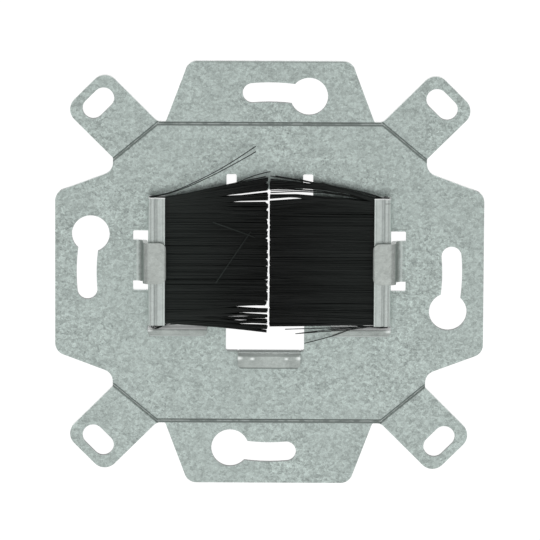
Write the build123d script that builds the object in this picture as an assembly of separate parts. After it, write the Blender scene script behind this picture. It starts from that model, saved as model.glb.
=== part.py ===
from build123d import *
import os
from math import cos, radians, sin, sqrt, tan

# Brush cable grommet on a flush-box carrier plate, in millimetres.
# The plate lies in the XY plane with its back face at Z = 0, +Z points out of the wall
# and +Y points up. The origin is the middle of the plate's back face.

# Carrier plate: the blank's outline
SHEET = 0.8  # thickness of the galvanised sheet
PLATE_SIZE = 70.3  # across opposite flaps
BODY_WIDTH = 51.4  # across the shoulders left and right
BODY_HEIGHT = 50.2  # across the notches above and below
FLAP_SLOPE = 20.6  # degrees, how far a flap's side leans from square
FLAP_CORNER = 2.0
TOP_NOTCH = 1.4  # floor of the notch between an upright flap and an ear
SIDE_NOTCH = 2.23  # floor of the notch between a side flap and an ear
NOTCH_CORNER = 0.3
EAR_ROOT_RADIUS = 1.5
SHOULDER_RADIUS = 2.0
EAR_WIDTH = 9.4
EAR_REACH = 42.9  # from the middle to an ear's end
EAR_CORNER = 2.3

# Fixing holes
SCREW_INSET = 5.15  # from a flap's edge in to the circle of the box screws
SCREW_CIRCLE = PLATE_SIZE - 2 * SCREW_INSET  # 60, the standard spacing of device box screws
KEYHOLE_HEAD = 6.2
KEYHOLE_SLOT = 3.28
KEYHOLE_HEAD_ANGLE = 12.23  # degrees from the flap's middle to the head
KEYHOLE_SLOT_ANGLE = 5.5  # degrees from the flap's middle to the slot's end
EAR_HOLE_INSET = 3.19  # from an ear's end in to the middle of its oblong hole
EAR_HOLE_LENGTH = 5.85
EAR_HOLE_WIDTH = 3.5

# Break lines scored into the front face
SCORE_WIDTH = 0.65
SCORE_FLOOR = 0.15
SCORE_DEPTH = 0.25
SCORE_INSET = 0.35  # from the notch floor in to the line's middle

# Brush strips
BRUSH_SPAN = 39.8  # across the backs of the two channels
BRUSH_MIDDLE = 2.22  # height of the strips' middle above the plate's middle
CHANNEL_LENGTH = 21.24
CHANNEL_DEPTH = 2.8
CHANNEL_HEIGHT = 2.6
CHANNEL_WALL = 0.3
CHANNEL_BACK_RADIUS = 0.55
CRIMP_DEPTH = 0.28
CRIMP_HALF_WIDTH = 0.32
CRIMP_BEHIND_WIRE = 0.1  # from the wire's front to the crimp's middle
WAIST_DEPTH = 0.1  # the walls stand this much lower past the crimp than at the back
WIRE_DIAMETER = 0.6
WIRE_PROUD = 0.25  # how far the core wire stands out of each channel end
BRISTLE_WRAP = 0.25  # bristles between the core wire and the channel's back
FIT = 0.03  # clearance of the filling in its channel

# Clamps lanced from the plate and bent over the channels
CLAMP_WIDTH = 6.8
CLAMP_MIDDLE = 2.05  # height of the clamps' middle above the plate's middle
CLAMP_RELIEF = 1.55
CLAMP_ROOT_RADIUS = 1.2  # inside the bend at the plate
CLAMP_TOP_RADIUS = 0.2  # inside the bend over the channel
CLAMP_PLAY = 0.05
CLAMP_OVERHANG = 0.2  # past the channel's mouth
CLAMP_CORNER = 1.2
CLAMP_NOTCH_FLAT = 0.4  # flat sheet between the bend and the end of the reliefs

# Opening for the cables
SEAT_LEDGE = 0.2  # plate that shows between a channel's mouth and the opening
TOP_SEAT = 0.54  # plate under the upper end of each channel
LOWER_PLAY = 0.45  # from a channel's lower end to the opening's lower edge
THROAT_WIDTH = 14.2  # middle part, taller than the rest
THROAT_RISE = 4.12
THROAT_DROP = 4.1
THROAT_TAB_WIDTH = 10.9  # tab left flat at the top of the throat
THROAT_TAB_LENGTH = 2.5
LOWER_RELIEF_RIGHT = 0.6
PUNCH_CORNER = 0.25

# Hems folded flat on the front face along the opening's lower edge
HEM_GAP = 0.1
HEM_PROUD = 0.15  # how far a fold's nose stands into the opening
HEM_CORNER = 0.8
SIDE_HEM_INNER_END = 10.2
SIDE_HEM_LENGTH = 1.8
SIDE_HEM_CUT = 1.8  # height of the slot that each side hem was folded out of
THROAT_HEM_WIDTH = 10.3
THROAT_HEM_LENGTH = 3.1

# Bristles
TUFTS = 34
TIP_LINE = -0.1  # where the two brushes meet, from the plate's middle
TIP_GAP = 0.24
TIP_RAGGED = 0.3  # most that a tuft falls short
FAN_RISE = 2.96  # tips above the channels' upper ends
FAN_DROP_LEFT = 2.0  # tips below the channels' lower ends
FAN_DROP_RIGHT = 0.5
PACK_AT_MOUTH = 1.5  # thickness of the pack of bristles
PACK_AT_WAIST = 1.15
PACK_WAIST = 6.0  # from the mouth to where the pack is thinnest
PACK_AT_TIPS = 1.5
SLIT_WIDTH = 0.16
SLIT_REACH = 0.75  # longest slit between two tufts, as a share of their length
SHORTEST_SLIT = 0.45  # shortest slit, as a share of the longest
WIDE_SLIT_WIDTH = 0.42
WIDE_SLIT_REACH = 0.42
UPPER_WIDE_SLITS = (0.86, 0.91)  # places along the row of tufts, from 0 below to 1 above
LOWER_WIDE_SLITS = (0.09, 0.13)
HEM_CLEARANCE = 0.1
SLIT_PATTERN = 2.4  # different patterns of unevenness along the row of tufts
LOWER_TIP_PATTERN = 5.1
UPPER_TIP_PATTERN = 3.7

# Worked out from the sizes above
channel_back = BRUSH_SPAN / 2
channel_mouth = channel_back - CHANNEL_DEPTH
channel_low = BRUSH_MIDDLE - CHANNEL_LENGTH / 2
channel_high = BRUSH_MIDDLE + CHANNEL_LENGTH / 2
channel_middle_z = SHEET + CHANNEL_HEIGHT / 2
riser_inner = channel_back + CLAMP_PLAY
riser_outer = riser_inner + SHEET
clamp_low = CLAMP_MIDDLE - CLAMP_WIDTH / 2
clamp_high = CLAMP_MIDDLE + CLAMP_WIDTH / 2
notch_end = riser_outer + CLAMP_ROOT_RADIUS + CLAMP_NOTCH_FLAT
opening_half = channel_mouth - SEAT_LEDGE
opening_low = channel_low - LOWER_PLAY
opening_high = channel_high - TOP_SEAT
throat_low = opening_low - THROAT_DROP
throat_high = opening_high + THROAT_RISE
hem_radius = SHEET + HEM_GAP / 2
hem_top = 2 * SHEET + HEM_GAP
side_nose = opening_low + HEM_PROUD
throat_nose = throat_low + HEM_PROUD
wire_depth = CHANNEL_WALL + BRISTLE_WRAP + WIRE_DIAMETER / 2
crimp_depth_in = wire_depth + WIRE_DIAMETER / 2 + CRIMP_BEHIND_WIRE


def rounded_face(*corners):
    """A face through corners (x, y, radius). A radius gives way only where its sides are too short."""
    points = [Vector(x, y) for x, y, _ in corners]
    count = len(points)
    sides = [(points[(i + 1) % count] - points[i]).length for i in range(count)]
    half_angles = []
    for i in range(count):
        back = points[i - 1] - points[i]
        ahead = points[(i + 1) % count] - points[i]
        half_angles.append(radians(back.get_angle(ahead)) / 2)
    reach = [corners[i][2] / tan(half_angles[i]) for i in range(count)]
    radii = []
    for i in range(count):
        behind = sides[i - 1] / max(reach[i - 1] + reach[i], sides[i - 1])
        ahead = sides[i] / max(reach[i] + reach[(i + 1) % count], sides[i])
        share = min(behind, ahead)
        radii.append(corners[i][2] * (share if share == 1 else 0.98 * share))
    return make_face(FilletPolyline(*points, radius=radii, close=True))


def rectangle(x0, x1, y0, y1):
    """A plain rectangle between two corners."""
    return Pos((x0 + x1) / 2, (y0 + y1) / 2) * Rectangle(x1 - x0, y1 - y0)


def block(x0, x1, y0, y1, z0, z1):
    """A plain block between two corners."""
    return Pos(0, 0, z0) * extrude(rectangle(x0, x1, y0, y1), z1 - z0)


def along_y(section, y0, y1):
    """A section drawn in X and Z, drawn out from y0 to y1."""
    plane = Plane(origin=(0, y1, 0), x_dir=(1, 0, 0), z_dir=(0, -1, 0))
    return extrude(plane * section, y1 - y0)


def along_x(section, x0, x1):
    """A section drawn in Y and Z, drawn out from x0 to x1."""
    plane = Plane(origin=(x0, 0, 0), x_dir=(0, 1, 0), z_dir=(1, 0, 0))
    return extrude(plane * section, x1 - x0)


def mirrored(shape):
    """The same shape on the other side of the YZ plane."""
    return mirror(shape, about=Plane.YZ)


# Blank


def blank_outline():
    """Four flaps and four ears round a square body, drawn as one quarter and repeated."""
    half = PLATE_SIZE / 2
    ear_offset = EAR_WIDTH / sqrt(2)
    lean = tan(radians(FLAP_SLOPE))
    ear_x = BODY_HEIGHT / 2 - ear_offset
    ear_y = BODY_WIDTH / 2 - ear_offset
    flap_root_x = ear_x - TOP_NOTCH
    flap_root_y = ear_y - SIDE_NOTCH
    near = (EAR_REACH - EAR_WIDTH / 2) / sqrt(2)
    far = (EAR_REACH + EAR_WIDTH / 2) / sqrt(2)
    quarter = [
        (flap_root_x - lean * (half - BODY_HEIGHT / 2), half, FLAP_CORNER),
        (flap_root_x, BODY_HEIGHT / 2, NOTCH_CORNER),
        (ear_x, BODY_HEIGHT / 2, EAR_ROOT_RADIUS),
        (near, far, EAR_CORNER),
        (far, near, EAR_CORNER),
        (BODY_WIDTH / 2, ear_y, NOTCH_CORNER),
        (BODY_WIDTH / 2, flap_root_y, SHOULDER_RADIUS),
        (half, flap_root_y - lean * (half - BODY_WIDTH / 2), FLAP_CORNER),
    ]
    corners = list(quarter)
    corners += [(x, -y, r) for x, y, r in reversed(quarter)]
    corners += [(-x, -y, r) for x, y, r in quarter]
    corners += [(-x, y, r) for x, y, r in reversed(quarter)]
    return rounded_face(*corners)


def fixing_holes():
    """Keyholes that let the plate turn onto the box screws, and an oblong hole in each ear."""
    radius = SCREW_CIRCLE / 2
    head_at = 90 - KEYHOLE_HEAD_ANGLE
    arc = CenterArc((0, 0), radius, head_at, KEYHOLE_HEAD_ANGLE + KEYHOLE_SLOT_ANGLE)
    head = Pos(radius * cos(radians(head_at)), radius * sin(radians(head_at)))
    keyhole = SlotArc(arc, KEYHOLE_SLOT) + head * Circle(KEYHOLE_HEAD / 2)
    oblong = Pos(0, EAR_REACH - EAR_HOLE_INSET) * SlotOverall(EAR_HOLE_LENGTH, EAR_HOLE_WIDTH)
    holes = Sketch()
    for quarter in range(4):
        holes += Rot(0, 0, 90 * quarter) * keyhole
        holes += Rot(0, 0, 90 * quarter + 45) * oblong
    return holes


def cable_opening():
    """The opening, its taller throat, the reliefs of the clamps and the slots of the hems."""
    half_throat = THROAT_WIDTH / 2
    half_tab = THROAT_TAB_WIDTH / 2
    half_hem = THROAT_HEM_WIDTH / 2
    opening = rectangle(-opening_half, opening_half, opening_low, opening_high)
    opening += rectangle(-half_throat, half_throat, BRUSH_MIDDLE, throat_high)
    throat_right = half_hem + LOWER_RELIEF_RIGHT
    opening += rectangle(-half_throat, throat_right, throat_low, BRUSH_MIDDLE)
    opening -= rectangle(-half_tab, half_tab, throat_high - THROAT_TAB_LENGTH, throat_high)
    for side in (-1, 1):
        near, far = sorted((0, side * notch_end))
        opening += rectangle(near, far, clamp_low - CLAMP_RELIEF, clamp_high + CLAMP_RELIEF)
        near, far = sorted((0, side * riser_inner))
        opening += rectangle(near, far, opening_low, opening_low + SIDE_HEM_CUT)
    return fillet(opening.vertices(), PUNCH_CORNER)


# Break lines


def score_line(start, end, overrun):
    """A cutter for one V-shaped line with a flat floor, pressed into the front face."""
    direction = (end - start).normalized()
    first = start - direction * overrun
    length = (end - start).length + 2 * overrun
    across = Vector(-direction.Y, direction.X, 0)
    plane = Plane(origin=first + Vector(0, 0, SHEET), x_dir=across, z_dir=direction)
    rim = SCORE_WIDTH / 2
    floor = SCORE_FLOOR / 2
    section = Polygon((-rim, 0), (-floor, -SCORE_DEPTH), (floor, -SCORE_DEPTH), (rim, 0), align=None)
    return extrude(plane * section, length)


def score_lines():
    """One line across each upright flap and one across each ear."""
    ear_offset = EAR_WIDTH / sqrt(2)
    line_y = BODY_HEIGHT / 2 - SCORE_INSET
    inner = Vector(BODY_HEIGHT / 2 - ear_offset, line_y)
    outer = Vector(BODY_WIDTH / 2, BODY_WIDTH / 2 - ear_offset - SCORE_INSET)
    cutters = []
    for up in (-1, 1):
        left = Vector(-inner.X, up * inner.Y)
        right = Vector(inner.X, up * inner.Y)
        cutters.append(score_line(left, right, 0))
        for side in (-1, 1):
            start = Vector(side * inner.X, up * inner.Y)
            end = Vector(side * outer.X, up * outer.Y)
            cutters.append(score_line(start, end, SCORE_INSET))
    return cutters


# Folded features of the plate


def clamp():
    """The right clamp: up from the plate, then in over the channel, at the sheet's thickness."""
    middle = SHEET / 2
    top = SHEET + CHANNEL_HEIGHT + middle
    riser = riser_inner + middle
    free_end = channel_mouth - CLAMP_OVERHANG
    root = notch_end + SHEET
    bends = [CLAMP_ROOT_RADIUS + middle, CLAMP_TOP_RADIUS + middle]
    line = FilletPolyline((root, middle), (riser, middle), (riser, top), (free_end + middle, top), radius=bends)
    strip = along_y(SlotArc(line.wire(), SHEET), clamp_low, clamp_high)
    plan = rounded_face(
        (free_end, clamp_low, CLAMP_CORNER),
        (notch_end, clamp_low, 0),
        (notch_end, clamp_high, 0),
        (free_end, clamp_high, CLAMP_CORNER),
    )
    root_strip = block(notch_end, root - middle, clamp_low, clamp_high, 0, SHEET)
    return (strip & extrude(plan, top + SHEET)) + root_strip


def hem(x0, x1, nose, length):
    """A tab of the sheet folded back flat on the front face, with its nose at the opening."""
    middle = SHEET / 2
    turn = hem_radius - middle
    centre = nose - hem_radius
    end = nose - length + middle
    lower = Line((end - SHEET, middle), (centre, middle))
    bend = ThreePointArc((centre, middle), (centre + turn, middle + turn), (centre, middle + 2 * turn))
    upper = Line((centre, middle + 2 * turn), (end, middle + 2 * turn))
    folded = along_x(SlotArc(Wire([lower, bend, upper]), SHEET), x0, x1)
    plan = rounded_face(
        (x0, nose - length, HEM_CORNER),
        (x0, nose, HEM_CORNER / 2),
        (x1, nose, HEM_CORNER / 2),
        (x1, nose - length, HEM_CORNER),
    )
    return folded & extrude(plan, hem_top)


def hem_bed(x0, x1, nose):
    """The stretch of the blank that a hem's nose takes the place of."""
    return block(x0, x1, nose - hem_radius, nose, 0, SHEET)


def carrier_plate():
    """The blank with its holes, scores, hems and clamps, all one piece of sheet."""
    plate = extrude(blank_outline() - fixing_holes() - cable_opening(), SHEET)
    plate -= score_lines()
    half_hem = THROAT_HEM_WIDTH / 2
    hems = [
        (-riser_inner, -SIDE_HEM_INNER_END, side_nose, SIDE_HEM_LENGTH),
        (SIDE_HEM_INNER_END, riser_inner, side_nose, SIDE_HEM_LENGTH),
        (-half_hem, half_hem, throat_nose, THROAT_HEM_LENGTH),
    ]
    for x0, x1, nose, length in hems:
        plate -= hem_bed(x0, x1, nose)
        plate += hem(x0, x1, nose, length)
    right_clamp = clamp()
    plate += right_clamp
    plate += mirrored(right_clamp)
    return plate


# Brush strips


def channel():
    """The right channel: a steel strip bent to a U and crimped onto the folded bristles."""
    wall = CHANNEL_WALL / 2
    full = CHANNEL_HEIGHT / 2 - wall
    waist = full - WAIST_DEPTH
    upper = [
        (CHANNEL_DEPTH - wall, full),
        (crimp_depth_in + CRIMP_HALF_WIDTH, waist),
        (crimp_depth_in, full - CRIMP_DEPTH),
        (crimp_depth_in - CRIMP_HALF_WIDTH, full),
        (wall, full),
    ]
    depths_and_heights = upper + [(depth, -height) for depth, height in reversed(upper)]
    points = [(channel_back - depth, channel_middle_z + height) for depth, height in depths_and_heights]
    crimp_bend = CHANNEL_WALL
    bends = [crimp_bend, crimp_bend, crimp_bend, CHANNEL_BACK_RADIUS]
    line = FilletPolyline(*points, radius=bends + bends[::-1])
    return along_y(SlotArc(line.wire(), CHANNEL_WALL), channel_low, channel_high)


def core_wire():
    """The right core wire, round which the bristles are folded."""
    section = Pos(channel_back - wire_depth, channel_middle_z) * Circle(WIRE_DIAMETER / 2)
    return along_y(section, channel_low - WIRE_PROUD, channel_high + WIRE_PROUD)


def uneven(tuft, pattern):
    """A repeatable share from 0 to 1 that differs from tuft to tuft."""
    return abs(sin(pattern * tuft))


def slit_after(tuft, wide_slits):
    """Width at the tips of the slit after one tuft, and its reach as a share of the tufts' length."""
    places = [round(place * TUFTS) for place in wide_slits]
    if tuft + 1 in places:
        return WIDE_SLIT_WIDTH, WIDE_SLIT_REACH
    share = SHORTEST_SLIT + (1 - SHORTEST_SLIT) * uneven(tuft, SLIT_PATTERN)
    return SLIT_WIDTH, SLIT_REACH * share


def comb_outline(side, drop, wide_slits):
    """The fanned row of tufts seen from the front, with ragged tips and slits between tufts."""
    low = channel_low + FIT
    high = channel_high - FIT
    mouth = side * channel_mouth
    back = side * (channel_back - CHANNEL_WALL - FIT)
    tips = TIP_LINE + side * TIP_GAP / 2
    tip_low = channel_low - drop
    tip_high = channel_high + FAN_RISE

    def on_row(place, reach):
        root_y = low + place * (high - low)
        tip_y = tip_low + place * (tip_high - tip_low)
        return mouth + reach * (tips - mouth), root_y + reach * (tip_y - root_y)

    points = [(back, low), (mouth, low)]
    half_before = 0
    for tuft in range(TUFTS):
        width, reach = slit_after(tuft, wide_slits)
        last = tuft == TUFTS - 1
        half_after = 0 if last else width / 2
        short_low = side * TIP_RAGGED * uneven(tuft, LOWER_TIP_PATTERN + side)
        short_high = side * TIP_RAGGED * uneven(tuft, UPPER_TIP_PATTERN + side)
        x, y = on_row(tuft / TUFTS, 1)
        points.append((x + short_low, y + half_before))
        x, y = on_row((tuft + 1) / TUFTS, 1)
        points.append((x + short_high, y - half_after))
        if not last:
            points.append(on_row((tuft + 1) / TUFTS, 1 - reach))
        half_before = half_after
    points += [(mouth, high), (back, high)]
    return make_face(Polyline(*points, close=True))


def pack_section(side):
    """The bristles' thickness from the back of the channel, round the core wire, to the tips."""
    inside = CHANNEL_HEIGHT / 2 - CHANNEL_WALL - FIT
    back = CHANNEL_WALL + FIT
    corner = CHANNEL_WALL
    crimp = crimp_depth_in
    length = channel_mouth - side * TIP_LINE
    upper = [
        (back, inside - corner),
        (back + corner, inside),
        (crimp - CRIMP_HALF_WIDTH - CRIMP_BEHIND_WIRE, inside),
        (crimp - CRIMP_HALF_WIDTH / 2, inside - CRIMP_DEPTH),
        (crimp + CRIMP_HALF_WIDTH / 2, inside - CRIMP_DEPTH),
        (CHANNEL_DEPTH, PACK_AT_MOUTH / 2),
        (CHANNEL_DEPTH + PACK_WAIST, PACK_AT_WAIST / 2),
        (CHANNEL_DEPTH + length, PACK_AT_TIPS / 2),
    ]
    rim = upper + [(depth, -half) for depth, half in reversed(upper)]
    points = [(side * (channel_back - depth), channel_middle_z + half) for depth, half in rim]
    bore = Pos(side * (channel_back - wire_depth), channel_middle_z) * Circle(WIRE_DIAMETER / 2 + FIT)
    return make_face(Polyline(*points, close=True)) - bore


def bristles(side, drop, wide_slits):
    """One strip's nylon bristles as a slit comb, folded round the wire at the back."""
    fan = extrude(comb_outline(side, drop, wide_slits), 2 * channel_middle_z)
    room = FAN_RISE + FAN_DROP_LEFT
    pack = fan & along_y(pack_section(side), channel_low - room, channel_high + room)
    inner = side * (SIDE_HEM_INNER_END - HEM_CLEARANCE)
    outer = side * channel_back
    return pack - block(
        min(inner, outer),
        max(inner, outer),
        side_nose - SIDE_HEM_LENGTH - HEM_CLEARANCE,
        side_nose + HEM_CLEARANCE,
        0,
        hem_top + HEM_CLEARANCE,
    )


right_channel = channel()
right_core_wire = core_wire()
nodes = {
    "carrier_plate": carrier_plate(),
    "right_channel": right_channel,
    "left_channel": mirrored(right_channel),
    "right_core_wire": right_core_wire,
    "left_core_wire": mirrored(right_core_wire),
    "right_bristles": bristles(1, FAN_DROP_RIGHT, UPPER_WIDE_SLITS),
    "left_bristles": bristles(-1, FAN_DROP_LEFT, LOWER_WIDE_SLITS + UPPER_WIDE_SLITS),
}

os.makedirs("parts", exist_ok=True)
for name, shape in nodes.items():
    export_step(shape, "parts/" + name + ".step")
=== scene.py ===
import bpy
from math import cos, pi, radians, sin
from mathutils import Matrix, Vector


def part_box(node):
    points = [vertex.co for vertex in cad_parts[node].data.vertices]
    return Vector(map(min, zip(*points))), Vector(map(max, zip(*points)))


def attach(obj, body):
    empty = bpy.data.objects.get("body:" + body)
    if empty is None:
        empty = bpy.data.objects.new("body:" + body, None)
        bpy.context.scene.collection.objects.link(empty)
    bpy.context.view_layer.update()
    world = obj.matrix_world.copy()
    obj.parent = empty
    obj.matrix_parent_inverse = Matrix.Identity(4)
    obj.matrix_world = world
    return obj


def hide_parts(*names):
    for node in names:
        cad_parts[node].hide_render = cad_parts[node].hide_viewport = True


# Brush cable grommet on a flush-box carrier plate. Metres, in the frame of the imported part:
# the plate's back face lies at Z = 0, +Z points out of the wall and +Y points up.
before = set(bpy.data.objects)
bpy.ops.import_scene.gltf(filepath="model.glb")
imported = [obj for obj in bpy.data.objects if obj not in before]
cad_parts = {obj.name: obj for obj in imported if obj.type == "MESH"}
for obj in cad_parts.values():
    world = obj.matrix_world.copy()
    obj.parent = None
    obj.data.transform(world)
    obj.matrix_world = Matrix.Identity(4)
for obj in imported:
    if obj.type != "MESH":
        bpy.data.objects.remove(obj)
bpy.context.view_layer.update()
MM = 0.001


# Carrier plate
# One stamped sheet of hot-dip galvanised steel with a fine, dull, grey-green spangle. Folding it
# has rubbed the zinc smoother and a little warmer on the clamps and hems, and break lines are
# pressed into its flaps and ears.

class Net:
    """One socket of a node tree. Arithmetic on it adds Math nodes behind it."""

    def __init__(self, tree, socket=None):
        self.tree = tree
        self.socket = socket

    def node(self, kind, inputs=None, out=0, curve=None, **settings):
        """Adds any node: its settings first, then its sockets' values or links."""
        made = self.tree.nodes.new(kind)
        for name, value in settings.items():
            setattr(made, name, value)
        if curve:
            points = made.mapping.curves[0].points
            while len(points) < len(curve):
                points.new(0.5, 0.5)
            for point, place in zip(points, curve):
                point.location = place
                point.handle_type = "VECTOR"
            made.mapping.update()
        for key, value in (inputs or {}).items():
            self.put(made.inputs[key], value)
        return Net(self.tree, made.outputs[out] if made.outputs else None)

    def put(self, socket, value):
        """Links a socket or sets its value."""
        if isinstance(value, Net):
            self.tree.links.new(value.socket, socket)
        elif socket.type == "RGBA":
            socket.default_value = (*value, 1)
        else:
            socket.default_value = value

    def sibling(self, name):
        """Another output of the same node."""
        return Net(self.tree, self.socket.node.outputs[name])

    def maths(self, operation, *values):
        """A Math node that works on these values."""
        made = self.tree.nodes.new("ShaderNodeMath")
        made.operation = operation
        for socket, value in zip(made.inputs, values):
            self.put(socket, value)
        return Net(self.tree, made.outputs[0])

    def __add__(self, other):
        return self.maths("ADD", self, other)

    def __sub__(self, other):
        return self.maths("SUBTRACT", self, other)

    def __rsub__(self, other):
        return self.maths("SUBTRACT", other, self)

    def __mul__(self, other):
        return self.maths("MULTIPLY", self, other)

    def __truediv__(self, other):
        return self.maths("DIVIDE", self, other)

    def __abs__(self):
        return self.maths("ABSOLUTE", self)

    __radd__ = __add__
    __rmul__ = __mul__

    def least(self, other):
        return self.maths("MINIMUM", self, other)

    def most(self, other):
        return self.maths("MAXIMUM", self, other)

    def power(self, exponent):
        return self.maths("POWER", self, exponent)

    def exponential(self):
        return self.maths("EXPONENT", self)

    def sign(self):
        return self.maths("SIGN", self)

    def hypotenuse(self, other):
        """How far a point is from the origin, from its two coordinates."""
        return self.maths("SQRT", self * self + other * other)

    def step(self, start, end, first=0.0, last=1.0):
        """A smooth rise from first to last between start and end."""
        inputs = {"Value": self, "From Min": start, "From Max": end, "To Min": first, "To Max": last}
        return self.node("ShaderNodeMapRange", inputs, interpolation_type="SMOOTHSTEP")

    def fall(self, start, end):
        """A smooth fall from one to nothing between start and end."""
        return self.step(start, end, 1, 0)

    def stretched(self, *scale):
        """This place, with each axis scaled."""
        return self.node("ShaderNodeMapping", {"Vector": self, "Scale": scale})

    def noise(self, scale, detail=2.0, **more):
        """Noise at this place, from 0 to 1."""
        inputs = {"Vector": self, "Scale": scale, "Detail": detail, **more}
        return self.node("ShaderNodeTexNoise", inputs)

    def parts(self):
        """The three components of a vector."""
        split = self.node("ShaderNodeSeparateXYZ", {0: self})
        return split, split.sibling("Y"), split.sibling("Z")

    def blend(self, first, second):
        """A colour between two, by this share."""
        inputs = {"Factor": self, 6: first, 7: second}
        return self.node("ShaderNodeMix", inputs, out=2, data_type="RGBA")

    def tinted(self, colour):
        """A colour multiplied by this shade."""
        shade = self.node("ShaderNodeCombineXYZ", {"X": self, "Y": self, "Z": self})
        return shade.node("ShaderNodeVectorMath", {0: colour, 1: shade}, operation="MULTIPLY")


def new_material(name):
    """An empty material with one shader, and a start for its nodes."""
    made = bpy.data.materials.new(name)
    made.use_nodes = True
    start = Net(made.node_tree)
    shader = made.node_tree.nodes["Principled BSDF"]
    return made, start, shader


def dress(obj, material):
    """Gives every slot of an object this material."""
    obj.data.materials.clear()
    obj.data.materials.append(material)


SPANGLE = 0.8 * MM  # size of one zinc crystal
ROLLED_OUT = 0.85  # below 1, the crystals are longer along the roll
ZINC = (0.455, 0.520, 0.496)
RUBBED_ZINC = (0.400, 0.430, 0.409)  # on everything that is folded
HIGHLIGHT_ZINC = (0.820, 0.860, 0.840)  # painted highlights on the hems' corners
PRESSED_ZINC = (0.352, 0.386, 0.368)  # hems, which the press has flattened
# painted shade along the crease across the middle hem, where its nose ends
CREASE_SHADE_ZINC = (0.190, 0.210, 0.200)
LIT_NOSE_ZINC = (0.800, 0.850, 0.825)  # painted light on the middle hem's round fold, which lies in the brush's shade
LIT_SIDE_NOSE_ZINC = (0.960, 0.980, 0.970)  # painted light on the side hems' round folds, in the brushes' shade
ROOT_HIGHLIGHT_ZINC = (0.720, 0.780, 0.750)  # painted highlight on the bend at each clamp's root
# painted shade: in the break lines' grooves, along the top flap's and the windows' edges, beside the clamps'
# roots and along the throat's lower edge
SHADE_ZINC = (0.275, 0.308, 0.294)
SCORE_FLOOR_ZINC = (0.460, 0.500, 0.485)
LIT_OUTLINE_STEEL = (0.800, 0.815, 0.810)  # painted highlight on the sheared outline
SHADED_HOLE_STEEL = (0.170, 0.182, 0.177)  # painted shade on the walls of the punched holes
SHEET = 0.8 * MM
FOLDS_FROM = 0.86 * MM  # height above which the sheet is folded
RIM_FROM = 34.84 * MM  # the top flap's edge, a little below the outline
HOLES_WITHIN = Vector((34.2 * MM, 13.4 * MM, 0))  # reach of all holes but the ears', outwards and sideways
EAR_HOLE = 28.08 * MM  # middle of an ear's hole, along X and along Y
EAR_HOLE_REACH = 3.0 * MM
BODY_HALF_WIDTH = 25.7 * MM
BODY_HALF_HEIGHT = 25.1 * MM
EAR_OFFSET = 6.647 * MM  # from the body's corner to where an ear begins
SCORE_HALF = 0.31 * MM
SCORE_INSET = 0.35 * MM
HEMS_BELOW = -8.0 * MM
HEM_END = -14.8 * MM  # the middle hem's cut edge
SIDE_HEMS_FROM = 7.0 * MM
SIDE_NOSE_END = -9.9 * MM
CREASE_AT = -13.64 * MM  # across the middle hem, where its nose ends
CREASE_HALF_LENGTH = 4.9 * MM
BRIM_AT = -12.98 * MM  # the lower edge of the opening's throat
BRIM_MIDDLE = -0.62 * MM
BRIM_HALF_LENGTH = 6.2 * MM
WINDOW_MIDDLE = 21.25 * MM  # of the windows above and below each clamp
WINDOW_HALF_WIDTH = 1.25 * MM
WINDOW_REACH = 5.3 * MM  # from the clamps' middle to the far edge of a window
WINDOWS_WITHIN = 8.0 * MM  # reach of the windows, up and down
CLAMP_ROOT = 21.62 * MM
CLAMP_MIDDLE = 2.05 * MM
CLAMP_HALF_WIDTH = 3.3 * MM
# Each painted highlight on a hem's corner: its place and its size, in mm.
HIGHLIGHT_SPOTS = [
    (-4.90, -14.10, 0.50),
    (-2.75, -14.20, 0.36),
    (2.85, -14.20, 0.30),
    (5.00, -14.10, 0.50),
    (-19.70, -9.40, 0.50),
    (19.60, -9.45, 0.55),
]


def spangle(place):
    """Light and dark of the zinc crystals, from about -1 to 1, in three sizes of grain."""
    place = place.stretched(ROLLED_OUT, 1, 1)
    wander = place.noise(0.9 / SPANGLE).sibling("Color")
    bend = wander.node("ShaderNodeVectorMath", {0: wander, 1: (0.5, 0.5, 0.5)}, operation="SUBTRACT")
    bend = bend.node("ShaderNodeVectorMath", {0: bend, "Scale": SPANGLE * 0.9}, operation="SCALE")
    bent = bend.node("ShaderNodeVectorMath", {0: place, 1: bend}, operation="ADD")
    coarse = bent.node("ShaderNodeTexVoronoi", {"Vector": bent, "Scale": 1 / SPANGLE}, out=1)
    fine = bent.node("ShaderNodeTexVoronoi", {"Vector": bent, "Scale": 2.3 / SPANGLE}, out=1)
    grain = place.noise(5.5 / SPANGLE, 3.0, Roughness=0.6)
    coarse = coarse.node("ShaderNodeSeparateColor", {0: coarse})
    fine = fine.node("ShaderNodeSeparateColor", {0: fine})
    return (coarse - 0.5) * 0.34 + (fine - 0.5) * 0.70 + (grain - 0.5) * 2.1


def break_lines(x, y):
    """One along the scored break lines, and how far a point is off a line's middle."""
    line_y = BODY_HALF_HEIGHT - SCORE_INSET
    inner_x = BODY_HALF_HEIGHT - EAR_OFFSET
    corner = (inner_x, inner_x + SCORE_INSET)
    off_flap = abs(abs(y) - line_y)
    on_flap = off_flap.fall(SCORE_HALF * 0.8, SCORE_HALF * 1.3) * abs(x).fall(*corner)
    outer_y = BODY_HALF_WIDTH - EAR_OFFSET - SCORE_INSET
    run = Vector((BODY_HALF_WIDTH - inner_x, outer_y - line_y, 0))
    across = Vector((-run.y, run.x, 0)).normalized()
    off_ear = abs((abs(x) - inner_x) * across.x + (abs(y) - line_y) * across.y)
    on_ear = off_ear.fall(SCORE_HALF * 0.25, SCORE_HALF * 0.95) * abs(x).step(*corner)
    on_ear = on_ear * abs(x).fall(BODY_HALF_WIDTH, BODY_HALF_WIDTH + SCORE_INSET)
    return on_flap.most(on_ear), off_flap.least(off_ear + 0.05 * MM)


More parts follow.
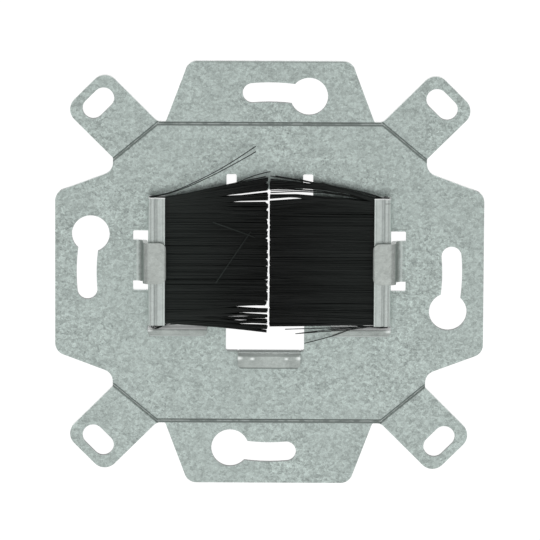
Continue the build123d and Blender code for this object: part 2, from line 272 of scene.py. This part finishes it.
def cut_steel(x, y, z, in_window, dents):
    """Colour of the cut edges, and where they are sheared and torn. The sheared outline gets a painted
    highlight, and the punched holes' walls painted shade.
    """
    farther = abs(x).most(abs(y))
    nearer = abs(x).least(abs(y))
    punched = farther.fall(HOLES_WITHIN.x, HOLES_WITHIN.x + 0.3 * MM)
    punched = punched * nearer.fall(HOLES_WITHIN.y, HOLES_WITHIN.y + MM)
    off_ear_hole = (abs(x) - EAR_HOLE).hypotenuse(abs(y) - EAR_HOLE)
    punched = punched.most(off_ear_hole.fall(EAR_HOLE_REACH, EAR_HOLE_REACH + 0.3 * MM))
    sheared = (1 - punched).most(in_window * abs(y).fall(WINDOWS_WITHIN, WINDOWS_WITHIN + 0.4 * MM))
    torn = z.fall(SHEET * 0.45, SHEET * 0.62)
    steel = (0.8 + dents * 0.7 - torn * 0.3).tinted(sheared.blend(SHADED_HOLE_STEEL, LIT_OUTLINE_STEEL))
    return steel, sheared, torn


def galvanised_sheet():
    made, start, shader = new_material("galvanised_sheet")
    place = start.node("ShaderNodeTexCoord", out=3)
    x, y, z = place.parts()
    flakes = spangle(place)
    clouds = place.noise(120.0)
    rubs = place.noise(700.0)
    patches = place.noise(240.0, 1.0)
    dents = place.noise(900.0, 3.0)
    strength = place.noise(65.0, 1.0).step(0.35, 0.65, 0.8, 1.12)
    front = z.step(SHEET * 0.6, SHEET * 0.7)

    # The spangle is weaker on the folds. The hems are darker and uneven, with painted highlights on their
    # corners.
    folded = z.step(FOLDS_FROM, FOLDS_FROM + 0.3 * MM)
    low = y.fall(HEMS_BELOW - MM, HEMS_BELOW)
    pressed = folded * low
    shade = 1 + flakes * strength * (0.62 - 0.36 * folded) + (clouds - 0.5) * 0.12
    shade = shade + (rubs - 0.5) * 0.35 * folded + (patches - 0.5) * 0.7 * pressed
    zinc = shade.tinted(pressed.blend(folded.blend(ZINC, RUBBED_ZINC), PRESSED_ZINC))
    for spot_x, spot_y, size in HIGHLIGHT_SPOTS:
        off_spot = ((x - spot_x * MM) * 0.6).hypotenuse(y - spot_y * MM)
        zinc = (off_spot.fall(0, size * MM) * folded).blend(zinc, HIGHLIGHT_ZINC)

    # Painted shade in the break lines' grooves on the flat front, lighter on their floors, and painted shade
    # along the crease across the middle hem.
    scored, off_middle = break_lines(x, y)
    scored = scored * front * z.fall(FOLDS_FROM, FOLDS_FROM + 0.1 * MM)
    floor_shine = off_middle.fall(0.06 * MM, 0.20 * MM) * dents.step(0.42, 0.60)
    zinc = (scored * 0.92).blend(zinc, floor_shine.blend(SHADE_ZINC, SCORE_FLOOR_ZINC))
    crease = abs(y - CREASE_AT).fall(0.09 * MM, 0.20 * MM) * folded
    crease = crease * abs(x).fall(CREASE_HALF_LENGTH, CREASE_HALF_LENGTH + 0.15 * MM)
    zinc = (crease * 0.6).blend(zinc, CREASE_SHADE_ZINC)

    # Painted shade along the top flap's edge and the windows' edges, a painted highlight on the bend at each
    # clamp's root, and painted shade just outside it.
    rim = y.step(RIM_FROM, RIM_FROM + 0.08 * MM) * front
    in_window = abs(abs(x) - WINDOW_MIDDLE).fall(WINDOW_HALF_WIDTH, WINDOW_HALF_WIDTH + 0.1 * MM)
    off_window = abs(abs(y - CLAMP_MIDDLE) - WINDOW_REACH)
    window_edge_shade = off_window.fall(0.06 * MM, 0.16 * MM) * in_window * front * dents.step(0.3, 0.5)
    zinc = (rim * 0.5).most(window_edge_shade * 0.6).blend(zinc, SHADE_ZINC)
    at_clamp = abs(y - CLAMP_MIDDLE).fall(CLAMP_HALF_WIDTH, CLAMP_HALF_WIDTH + 0.3 * MM) * front
    off_root = abs(x) - CLAMP_ROOT
    root_highlight = abs(off_root).fall(0.08 * MM, 0.26 * MM) * at_clamp
    zinc = (root_highlight * 0.6).blend(zinc, ROOT_HIGHLIGHT_ZINC)
    root_shade = abs(off_root - 0.5 * MM).fall(0.1 * MM, 0.35 * MM) * at_clamp * dents.step(0.4, 0.6)
    zinc = (root_shade * 0.45).blend(zinc, SHADE_ZINC)

    # Painted light on the hems' round noses, which lie in the brushes' shade.
    facing = place.node("ShaderNodeNewGeometry", out=1).parts()[2]
    upward = facing.step(0.02, 0.08)
    hems = upward * low * y.step(HEM_END, HEM_END + 0.2 * MM)
    nose = facing.fall(0.75, 0.95) * hems
    side_nose = facing.fall(0.90, 0.99) * hems * abs(x).step(SIDE_HEMS_FROM, SIDE_HEMS_FROM + 2 * MM)
    side_nose = side_nose * y.step(SIDE_NOSE_END, SIDE_NOSE_END + 0.2 * MM)
    zinc = side_nose.blend(nose.blend(zinc, LIT_NOSE_ZINC), LIT_SIDE_NOSE_ZINC)
    # Painted shade along the throat's lower edge.
    brim_shade = abs(y - BRIM_AT).fall(0.14 * MM, 0.26 * MM)
    brim_shade = brim_shade * abs(x - BRIM_MIDDLE).fall(BRIM_HALF_LENGTH, BRIM_HALF_LENGTH + 0.2 * MM)
    zinc = (brim_shade * 0.9).blend(zinc, SHADE_ZINC)

    cut = abs(facing).fall(0.25, 0.5) * z.fall(SHEET * 1.01, SHEET * 1.05)
    steel, sheared, torn = cut_steel(x, y, z, in_window, dents)
    start.put(shader.inputs["Base Color"], cut.blend(zinc, steel))
    start.put(shader.inputs["Metallic"], 0.85 - nose.most(side_nose) * 0.7)
    rough = 0.46 + flakes * 0.05 - folded * 0.12 + scored * 0.1
    rough = rough + cut * (torn * 0.2 - 0.1 - sheared * 0.22)
    start.put(shader.inputs["Roughness"], rough)
    height = flakes * 0.5 + rubs * folded - crease * 2.0 + (dents - 0.5) * scored * 2.0
    bump = flakes.node("ShaderNodeBump", {"Strength": 0.25, "Distance": 0.03 * MM, "Height": height})
    start.put(shader.inputs["Normal"], bump)
    return made


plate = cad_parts["carrier_plate"]
dress(plate, galvanised_sheet())


# Channels of the brush strips
# Galvanised steel strip, rolled to a U and crimped along its whole length. The rolls leave it
# smoother and brighter than the plate, with fine streaks along its length.

STRIP_ZINC = (0.492, 0.537, 0.517)
# painted highlight on the channels' end faces and upper ends
END_GLINT_STRIP = (0.880, 0.900, 0.890)
CHANNEL_MOUTH = 17.1 * MM
OUTER_BEND = 19.5 * MM
CHANNEL_GLINT_FROM = 12.64 * MM  # the upper ends, where a painted highlight runs along them
STOP_MARK = Vector((18.85 * MM, 12.03 * MM, 0))  # pressed across the right channel by the crimping tool


def rolled_strip():
    made, start, shader = new_material("channel_steel")
    place = start.node("ShaderNodeTexCoord", out=3)
    x, y, _ = place.parts()
    streaks = place.stretched(1, 0.06, 1).noise(3500.0, 3.0)
    flakes = spangle(place)
    off_mouth = abs(abs(x) - CHANNEL_MOUTH)
    # Painted highlight along the mouth's lip, and painted shade in the groove behind it.
    lip = off_mouth.fall(0.16 * MM, 0.26 * MM)
    behind_lip = abs(off_mouth - 0.36 * MM).fall(0.04 * MM, 0.14 * MM)
    mark = abs(y - STOP_MARK.y).fall(0.05 * MM, 0.14 * MM) * x.step(STOP_MARK.x, STOP_MARK.x + 0.1 * MM)
    facing_x, facing_y, _ = place.node("ShaderNodeNewGeometry", out=1).parts()
    # Painted light on the outer bend's side-facing surfaces.
    outside = abs(facing_x).step(0.2, 0.7) * abs(x).step(OUTER_BEND, OUTER_BEND + 0.2 * MM)
    shade = 1 + (streaks - 0.5) * 0.3 + flakes * 0.16
    shade = shade + lip * 0.25 - behind_lip * 0.18 - mark * 0.4 + outside * 0.55
    # Painted highlight on the end faces and along the upper ends, with less metal.
    ends = abs(facing_y).step(0.6, 0.9).most(y.step(CHANNEL_GLINT_FROM, CHANNEL_GLINT_FROM + 0.06 * MM) * 0.9)
    start.put(shader.inputs["Base Color"], ends.blend(shade.tinted(STRIP_ZINC), END_GLINT_STRIP))
    start.put(shader.inputs["Metallic"], 0.9 - ends * 0.7)
    start.put(shader.inputs["Roughness"], 0.38 + (streaks - 0.5) * 0.2)
    bump = streaks.node("ShaderNodeBump", {"Strength": 0.2, "Distance": 0.02 * MM, "Height": streaks})
    start.put(shader.inputs["Normal"], bump)
    return made


channel_finish = rolled_strip()
for side in ("left", "right"):
    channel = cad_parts[side + "_channel"]
    dress(channel, channel_finish)


# Core wires
# A drawn steel wire in each channel, which the bristles are folded round. Only its two ends show,
# at the ends of the channel.

DRAWN_STEEL = (0.23, 0.24, 0.24)


def drawn_wire():
    made, start, shader = new_material("core_wire")
    place = start.node("ShaderNodeTexCoord", out=3)
    marks = place.stretched(1, 0.05, 1).noise(9000.0)
    start.put(shader.inputs["Base Color"], (0.85 + marks * 0.3).tinted(DRAWN_STEEL))
    start.put(shader.inputs["Metallic"], 1.0)
    start.put(shader.inputs["Roughness"], 0.3 + marks * 0.15)
    return made


wire_finish = drawn_wire()
for side in ("left", "right"):
    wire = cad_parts[side + "_core_wire"]
    dress(wire, wire_finish)


# Bristles
# Straight black nylon filaments, laid side by side, folded over the core wire and clamped in the
# channel. Both halves of each filament point to the middle, where the two brushes meet in a
# ragged line. The rows fan out a little, and part into see-through streaks near their ends.

FILAMENTS = 1800
FILAMENT = 0.15 * MM  # diameter
# Along a filament, from the fold behind the core wire to the channel's mouth: its distance from
# the channel's back, then the height of the outermost and the innermost filament there, in mm.
FOLD = [
    (0.36, 0.00, 0.00),
    (0.47, 0.62, 0.20),
    (0.85, 0.92, 0.36),
    (1.25, 0.64, 0.03),
    (2.80, 0.74, 0.00),
]
FREE_POINTS = 4  # from the channel's mouth to the tip
FREE_SAG = 0.16  # how much flatter the pack gets between the mouth and the tips, in mm
TIP_LINE = -0.135 * MM  # where the two brushes meet
TIP_GAP = 0.20 * MM
CROWDING = 0.4  # below 1, more filaments lie in the outer layers
FAN_FROM = 0.25  # share of each half of the row whose filaments lean outwards
FAN_EASE = 0.6  # below 1, the outer filaments crowd towards the channel's ends
STRAYING = 0.1 * MM  # how far a filament usually wanders off its course
WILD_TIPS = 1.1 * MM  # how far the wildest ones stand out from the upper edge
RIPPLE = 0.35 * MM
GAP_SPREAD = 0.7 * MM  # how far beside a gap the filaments still make way for it
NYLON = (0.0076, 0.0097, 0.0087)
LIGHTEST_AT = 16 * MM  # painted light: the nylon is made lighter towards the channels


def nylon(name, brightness):
    made, start, shader = new_material(name)
    place = start.node("ShaderNodeTexCoord", out=3)
    x = place.parts()[0]
    uneven = place.stretched(0.08, 1, 1).noise(4000.0)
    # Painted light: lighter towards the channels, and lighter on the left brush than on the right.
    shade = (0.9 + uneven * 0.2) * abs(x).step(MM, LIGHTEST_AT, 0.62, 1.95) * brightness
    shade = shade * x.step(-LIGHTEST_AT, LIGHTEST_AT, 1.14, 0.83)
    start.put(shader.inputs["Base Color"], shade.tinted(NYLON))
    start.put(shader.inputs["Roughness"], 0.58 + (uneven - 0.5) * 0.15)
    start.put(shader.inputs["Specular IOR Level"], 0.28)
    return made


class Strip:
    """Places of one brush strip, from the frame's boxes and the shape of its bristles."""

    def __init__(self, name, side, roots, tips, bulge, bows, ragged, gaps, seed):
        low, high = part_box(name + "_channel")
        self.node = name + "_bristles"
        self.side = side
        self.gaps = gaps
        self.settings = {
            "Filaments": FILAMENTS,
            "Back": high.x if side > 0 else low.x,
            "Tip": TIP_LINE + side * TIP_GAP / 2,
            "Low": low.y + roots[0],
            "High": high.y + roots[1],
            "Tip Low": low.y + tips[0],
            "Tip High": high.y + tips[1],
            "Bulge": bulge,
            "Inner Bow": bows[0],
            "Outer Bow": bows[1],
            "Middle": (low.z + high.z) / 2,
            "Ragged": ragged,
            "Seed": seed,
        }


def bristle_tree(material, strip):
    """Filaments by number: each has its own place in the row, height, length and bend."""
    tree = bpy.data.node_groups.new("bristle_rows", "GeometryNodeTree")
    for name, value in strip.settings.items():
        kind = "NodeSocketInt" if isinstance(value, int) else "NodeSocketFloat"
        tree.interface.new_socket(name, in_out="INPUT", socket_type=kind)
    tree.interface.new_socket("Geometry", in_out="OUTPUT", socket_type="NodeSocketGeometry")
    start = Net(tree)
    given = start.node("NodeGroupInput")

    def setting(name):
        return given.sibling(name)

    points = len(FOLD) + FREE_POINTS
    seeds = start.node("GeometryNodeMeshLine", {"Count": setting("Filaments"), "Offset": (0, 0, 0)})
    line = start.node("GeometryNodeCurvePrimitiveLine", {"End": (1, 0, 0)})
    line = line.node("GeometryNodeResampleCurve", {"Curve": line, "Count": points})
    rows = seeds.node("GeometryNodeInstanceOnPoints", {"Points": seeds, "Instance": line})
    rows = rows.node("GeometryNodeRealizeInstances", {"Geometry": rows})

    number = start.node("GeometryNodeCurveOfPoint")
    along = start.node("GeometryNodeSplineParameter")

    def chance(draw, low=0, high=1):
        """A random number for each filament. Each draw has a number of its own, below 20."""
        inputs = {2: low, 3: high, "ID": number, "Seed": setting("Seed") * 20 + draw}
        return start.node("FunctionNodeRandomValue", inputs, out=1, data_type="FLOAT")

    def profile(heights):
        """A curve through one height for each of a filament's points."""
        places = [(i / (points - 1), value) for i, value in enumerate(heights)]
        return along.node("ShaderNodeFloatCurve", {"Value": along}, curve=places)

    def mix(share, first, second):
        return first + share * (second - first)

    # Where a filament lies in the row and in the pack, and its course out of the channel.
    row = (number + chance(1)) / setting("Filaments")
    height = chance(2, -1)
    layer = abs(height).power(CROWDING)
    length = abs(setting("Tip") - setting("Back"))
    free = [(i + 1) / FREE_POINTS for i in range(FREE_POINTS)]
    reach = profile([0] * len(FOLD) + free)
    mouth_depth, mouth_height, _ = FOLD[-1]
    mouth_depth = mouth_depth * MM
    depths = [depth * MM / mouth_depth for depth, _, _ in FOLD] + [1] * FREE_POINTS
    outermost = [outer for _, outer, _ in FOLD]
    outermost = outermost + [mouth_height - FREE_SAG * sin(pi * share * 0.8) for share in free]
    innermost = [inner for _, _, inner in FOLD] + [0] * FREE_POINTS
    lift = mix(layer, profile(innermost), profile(outermost)) * height.sign() * MM

    # The row fans out: below and above a level band in the middle, the tips lean outwards.
    tip_y = mix(row, setting("Tip Low"), setting("Tip High"))
    middle = (setting("Low") + setting("High")) / 2
    half = (setting("High") - setting("Low")) / 2
    level = half * (1 - FAN_FROM)
    off = tip_y - middle
    upper = (off - level).most(0) / (setting("Tip High") - middle - level)
    lower = (off * -1 - level).most(0) / (middle - setting("Tip Low") - level)
    outward = upper.power(FAN_EASE) - lower.power(FAN_EASE)
    root_y = middle + off.least(level).most(level * -1) + outward * (half - level)
    tip_y = tip_y + upper * upper * chance(4).power(9.0) * WILD_TIPS
    swell = upper * upper * upper * setting("Bulge") * profile([0, 0, 0, 0.1, 1] + [1] * FREE_POINTS)
    arch = upper * setting("Outer Bow") + upper * (1 - upper) * 4 * setting("Inner Bow")
    arch = arch * reach * (1 - reach)

    def ripple(spacing, shift):
        """An uneven wave along the row of tips, from about -0.5 to 0.5."""
        inputs = {"W": tip_y * (1 / spacing) + setting("Seed") * shift, "Scale": 1.0, "Detail": 2.0}
        return tip_y.node("ShaderNodeTexNoise", inputs, noise_dimensions="1D") - 0.5

    # Unequal lengths, and each filament's own bends.
    short = chance(5)
    short = (short * short * 0.3 + (ripple(0.6 * MM, 3.1) * 4 + 0.3).most(0)) * setting("Ragged")
    depth = profile(depths) * mouth_depth + reach * (length - mouth_depth - short)
    droop = (chance(6, -1) + chance(7, -1)) * STRAYING * reach * reach
    wander = (chance(8, -1) + chance(9, -1) + chance(10, -1)) * STRAYING
    bow = chance(11, -1) * STRAYING * reach * (1 - reach) * 2
    aside = (wander + ripple(0.9 * MM, 7.3) * RIPPLE) * reach * reach

    # The gaps: nearly all filaments beside one make way for it, and a few hairs stay in it.
    follows = chance(12).step(0.02, 0.10)
    for place, width, closed, parted, tips_closed in strip.gaps:
        away = tip_y + wander * 0.9 - place
        pull = (abs(away) * (-1 / GAP_SPREAD)).exponential()
        opening = reach.step(closed, parted) * reach.step(parted, 1.0, 1, 1 - tips_closed)
        aside = aside + away.sign() * pull * opening * follows * (width / 2)

    x = setting("Back") - depth * strip.side
    y = mix(reach, root_y + swell, tip_y) + aside + bow + arch
    z = setting("Middle") + lift + droop
    place = x.node("ShaderNodeCombineXYZ", {"X": x, "Y": y, "Z": z})
    rows = rows.node("GeometryNodeSetPosition", {"Geometry": rows, "Position": place})
    ring = start.node("GeometryNodeCurvePrimitiveCircle", {"Resolution": 4, "Radius": FILAMENT / 2})
    inputs = {"Curve": rows, "Profile Curve": ring, "Fill Caps": True}
    tubes = rows.node("GeometryNodeCurveToMesh", inputs)
    tubes = tubes.node("GeometryNodeSetShadeSmooth", {"Geometry": tubes})
    tubes = tubes.node("GeometryNodeSetMaterial", {"Geometry": tubes, "Material": material})
    start.node("NodeGroupOutput", {"Geometry": tubes})
    return tree


def settled(name, grower):
    """What an object has grown into, as a plain mesh that takes its place."""
    graph = bpy.context.evaluated_depsgraph_get()
    mesh = bpy.data.meshes.new_from_object(grower.evaluated_get(graph), depsgraph=graph)
    mesh.name = name
    bpy.data.objects.remove(grower)
    piece = bpy.data.objects.new(name, mesh)
    bpy.context.scene.collection.objects.link(piece)
    return piece


def grown(name, tree, settings):
    """Runs a geometry tree with these settings."""
    seedling = bpy.data.objects.new(name + "_seed", bpy.data.meshes.new(name + "_seed"))
    bpy.context.scene.collection.objects.link(seedling)
    modifier = seedling.modifiers.new("rows", "NODES")
    modifier.node_group = tree
    items = tree.interface.items_tree
    sockets = {item.name: item.identifier for item in items if item.in_out == "INPUT"}
    for key, value in settings.items():
        modifier[sockets[key]] = value
    bpy.context.view_layer.update()
    return settled(name, seedling)


nylon_finish = nylon("bristle_nylon", 1.0)
# Each gap: its place among the tips, its width, the shares of the free length at which it begins and
# is widest, and how far it closes again at the tips.
LEFT_GAPS = [
    (15.50 * MM, 0.30 * MM, 0.20, 0.60, 1.0),
    (13.75 * MM, 0.85 * MM, 0.30, 0.88, 0.3),
    (12.30 * MM, 0.80 * MM, 0.55, 0.92, 0.1),
    (11.55 * MM, 0.45 * MM, 0.55, 0.75, 0.7),
    (-5.50 * MM, 0.85 * MM, 0.48, 1.00, 0.0),
    (-6.50 * MM, 0.60 * MM, 0.50, 0.90, 0.1),
    (-7.25 * MM, 1.45 * MM, 0.40, 0.72, 0.5),
    (-8.10 * MM, 0.70 * MM, 0.60, 0.88, 0.2),
    (-9.10 * MM, 0.45 * MM, 0.70, 0.90, 0.2),
]
RIGHT_GAPS = [
    (14.70 * MM, 0.35 * MM, 0.20, 0.60, 0.8),
    (13.75 * MM, 3.00 * MM, 0.08, 0.42, 0.55),
    (12.55 * MM, 1.10 * MM, 0.60, 0.86, 0.3),
    (-8.00 * MM, 0.35 * MM, 0.30, 0.70, 0.2),
]
# Each strip: how far from the channel's lower and upper end its outermost filaments start, and where
# their tips lie. Then, for the upper edge, how it swells at the channel's mouth and how the inner and
# the outermost filaments bow, and last how ragged the tips are.
strips = [
    Strip(
        "left", -1, roots=(0.30 * MM, -0.15 * MM), tips=(-0.85 * MM, 2.66 * MM), bulge=0.0,
        bows=(0.0, 0.0), ragged=0.60 * MM, gaps=LEFT_GAPS, seed=3,
    ),
    Strip(
        "right", 1, roots=(0.15 * MM, -0.15 * MM), tips=(0.0, 2.50 * MM), bulge=0.1 * MM,
        bows=(2.2 * MM, 1.5 * MM), ragged=0.18 * MM, gaps=RIGHT_GAPS, seed=8,
    ),
]
for strip in strips:
    comb = grown(strip.node + "_rows", bristle_tree(nylon_finish, strip), strip.settings)
    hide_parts(strip.node)
    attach(comb, "root")


# Stray filaments
# Some have sprung out of the strips: a pair stands off over the plate, others lie along the upper
# edges, hang over the throat or curl round the channels' ends. Two cut ends lie on the left brush,
# and the light they catch is painted into their nylon, three times as light.

# Each stray: a few places along it, in mm.
STRAYS = {
    "left_strays": [
        [(-19.7, 12.9, 2.5), (-17.0, 13.3, 2.7), (-12.6, 15.2, 3.0), (-6.4, 18.6, 3.5), (-2.3, 21.6, 3.9)],
        [(-19.2, 12.9, 2.4), (-17.0, 13.2, 2.6), (-12.6, 14.9, 2.8), (-6.4, 18.1, 3.2), (-2.3, 20.6, 3.5)],
        [(-15.0, 12.8, 2.2), (-9.0, 13.8, 2.2), (-6.4, 14.5, 2.3),
         (-4.6, 15.7, 2.3), (-1.5, 16.8, 2.2), (0.1, 17.1, 2.2)],
        [(-19.2, -8.3, 2.3), (-19.5, -9.0, 2.2), (-18.4, -9.1, 2.1), (-17.0, -8.3, 2.0), (-15.5, -8.0, 2.0)],
        [(-18.9, -8.3, 2.6), (-19.1, -9.1, 2.5), (-18.0, -9.0, 2.4), (-16.9, -8.2, 2.3), (-15.4, -8.1, 2.2)],
        [(-18.6, -8.3, 2.2), (-18.9, -8.9, 2.1), (-18.0, -8.8, 2.1), (-16.6, -8.4, 2.1), (-14.0, -8.3, 2.1)],
    ],
    "right_strays": [
        [(16.5, -8.6, 2.3), (14.1, -9.05, 2.15), (10.5, -9.4, 2.0), (4.3, -9.95, 1.7)],
        [(15.2, -8.4, 2.2), (13.0, -9.2, 2.1), (10.5, -10.3, 1.95), (5.8, -11.6, 1.4)],
        [(18.0, -8.5, 2.3), (13.0, -8.75, 2.2), (8.0, -8.95, 2.1), (2.6, -9.15, 2.0)],
        [(17.0, -8.5, 2.2), (12.5, -8.95, 2.1), (8.5, -9.35, 1.9), (4.9, -9.9, 1.6)],
        [(19.5, -8.7, 2.2), (18.6, -8.9, 2.2), (17.2, -8.7, 2.1), (14.0, -8.4, 2.0)],
        [(19.0, -8.4, 2.4), (18.4, -8.9, 2.3), (16.9, -8.6, 2.2), (13.0, -8.4, 2.1)],
        [(18.4, 12.7, 2.4), (17.4, 13.1, 2.4), (16.5, 13.3, 2.5), (12.0, 14.2, 2.4)],
        [(18.9, 12.7, 2.5), (17.8, 13.1, 2.6), (16.0, 13.6, 2.5), (10.0, 14.7, 2.3), (5.0, 15.8, 2.2)],
        [(18.6, 12.7, 2.1), (17.6, 13.1, 2.0), (15.6, 13.7, 2.0), (9.0, 15.0, 2.1), (0.9, 16.4, 2.2)],
    ],
    "lit_strays": [
        [(-9.3, 8.8, 3.1), (-6.0, 7.7, 3.2), (-2.4, 6.3, 3.1)],
        [(-3.1, 7.3, 3.2), (-5.7, 3.4, 3.35), (-8.8, -1.3, 3.15)],
    ],
}


def sprung(name, routes, material):
    """Loose filaments along smooth lines through a few places each, as one mesh."""
    line = bpy.data.curves.new(name, "CURVE")
    line.dimensions = "3D"
    line.bevel_depth = FILAMENT / 2
    line.bevel_resolution = 1
    line.use_fill_caps = True
    line.resolution_u = 6
    for route in routes:
        spline = line.splines.new("NURBS")
        spline.points.add(len(route) - 1)
        for point, place in zip(spline.points, route):
            point.co = (*(MM * value for value in place), 1)
        spline.order_u = 3
        spline.use_endpoint_u = True
    holder = bpy.data.objects.new(name + "_line", line)
    bpy.context.scene.collection.objects.link(holder)
    piece = settled(name, holder)
    dress(piece, material)
    return piece


# Painted highlight: the same nylon, three times as light.
lit_finish = nylon("lit_nylon", 3.0)
for name, routes in STRAYS.items():
    strays = sprung(name, routes, lit_finish if name == "lit_strays" else nylon_finish)
    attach(strays, "root")


# Floor and light
# A plain white floor under the plate, and soft light from a wide screen overhead, a second one
# behind the upper edge and a white room round them.

FLOOR_SIZE = 3.0
FLOOR_DROP = 0.02 * MM
FLOOR_GLOW = 1.2  # strength with which the floor shines where it is seen, or mirrored
FLOOR_GLOW_SHARE = 0.8
ROOM_LIGHT = 0.42  # strength of the room's light. Seen itself, the room is white


def white_floor():
    made, start, shader = new_material("white_floor")
    start.put(shader.inputs["Base Color"], (0.85, 0.85, 0.85))
    start.put(shader.inputs["Roughness"], 0.9)
    ray = start.node("ShaderNodeLightPath")
    seen = ray.most(ray.sibling("Is Glossy Ray")).most(ray.sibling("Is Transmission Ray"))
    glow = start.node("ShaderNodeEmission", {"Strength": FLOOR_GLOW})
    paint = Net(made.node_tree, shader.outputs[0])
    whole = start.node("ShaderNodeMixShader", {0: seen * FLOOR_GLOW_SHARE, 1: paint, 2: glow})
    start.put(made.node_tree.nodes["Material Output"].inputs["Surface"], whole)
    return made


floor_mesh = bpy.data.meshes.new("floor")
half = FLOOR_SIZE / 2
corners = [(-half, -half), (half, -half), (half, half), (-half, half)]
floor_mesh.from_pydata([(x, y, -FLOOR_DROP) for x, y in corners], [], [(0, 1, 2, 3)])
floor = bpy.data.objects.new("floor", floor_mesh)
bpy.context.scene.collection.objects.link(floor)
dress(floor, white_floor())

room = bpy.data.worlds.new("white_room")
room.use_nodes = True
bpy.context.scene.world = room
start = Net(room.node_tree)
ray = start.node("ShaderNodeLightPath")
background = room.node_tree.nodes["Background"]
start.put(background.inputs["Color"], (1, 1, 1))
start.put(background.inputs["Strength"], ROOM_LIGHT + ray * (1 - ROOM_LIGHT))


def screen(name, azimuth, elevation, distance, size, power):
    """A square light that faces the plate. Azimuth 0 is beyond its upper edge, 90 to its right."""
    lamp = bpy.data.lights.new(name, "AREA")
    lamp.shape = "SQUARE"
    lamp.size = size
    lamp.energy = power
    light = bpy.data.objects.new(name, lamp)
    turn = radians(azimuth)
    lift = radians(elevation)
    back = Vector((sin(turn) * cos(lift), cos(turn) * cos(lift), sin(lift)))
    light.location = back * distance
    light.rotation_mode = "QUATERNION"
    light.rotation_quaternion = back.to_track_quat("Z", "Y")
    bpy.context.scene.collection.objects.link(light)


screen("overhead_screen", 180, 66, 1.1, 1.1, 3.2)
screen("upper_screen", 0, 30, 1.2, 0.5, 1.6)
screen("left_screen", 270, 35, 1.2, 0.9, 1.0)
screen("right_screen", 90, 35, 1.2, 0.9, 1.0)


# Camera
# Far above the plate and tipped a little towards its upper edge, with a long lens.

TILT = radians(10.28)
TURN = radians(0.28)
CAMERA_DISTANCE = 1.17
FIELD = 88.6 * MM  # width of the picture at the plate
SENSOR = 36.0
AIM = Vector((0.09 * MM, 0.50 * MM, SHEET))

camera_data = bpy.data.cameras.new("camera")
camera_data.sensor_width = SENSOR
camera_data.lens = SENSOR * CAMERA_DISTANCE / FIELD
camera_data.clip_start = 0.05
camera_data.clip_end = 20
camera = bpy.data.objects.new("camera", camera_data)
back = Vector((-sin(TURN) * sin(TILT), cos(TURN) * sin(TILT), cos(TILT)))
camera.location = AIM + CAMERA_DISTANCE * back
camera.rotation_euler = (-TILT, 0, TURN)
bpy.context.scene.collection.objects.link(camera)
bpy.context.scene.camera = camera
bpy.context.scene.view_settings.view_transform = "Standard"
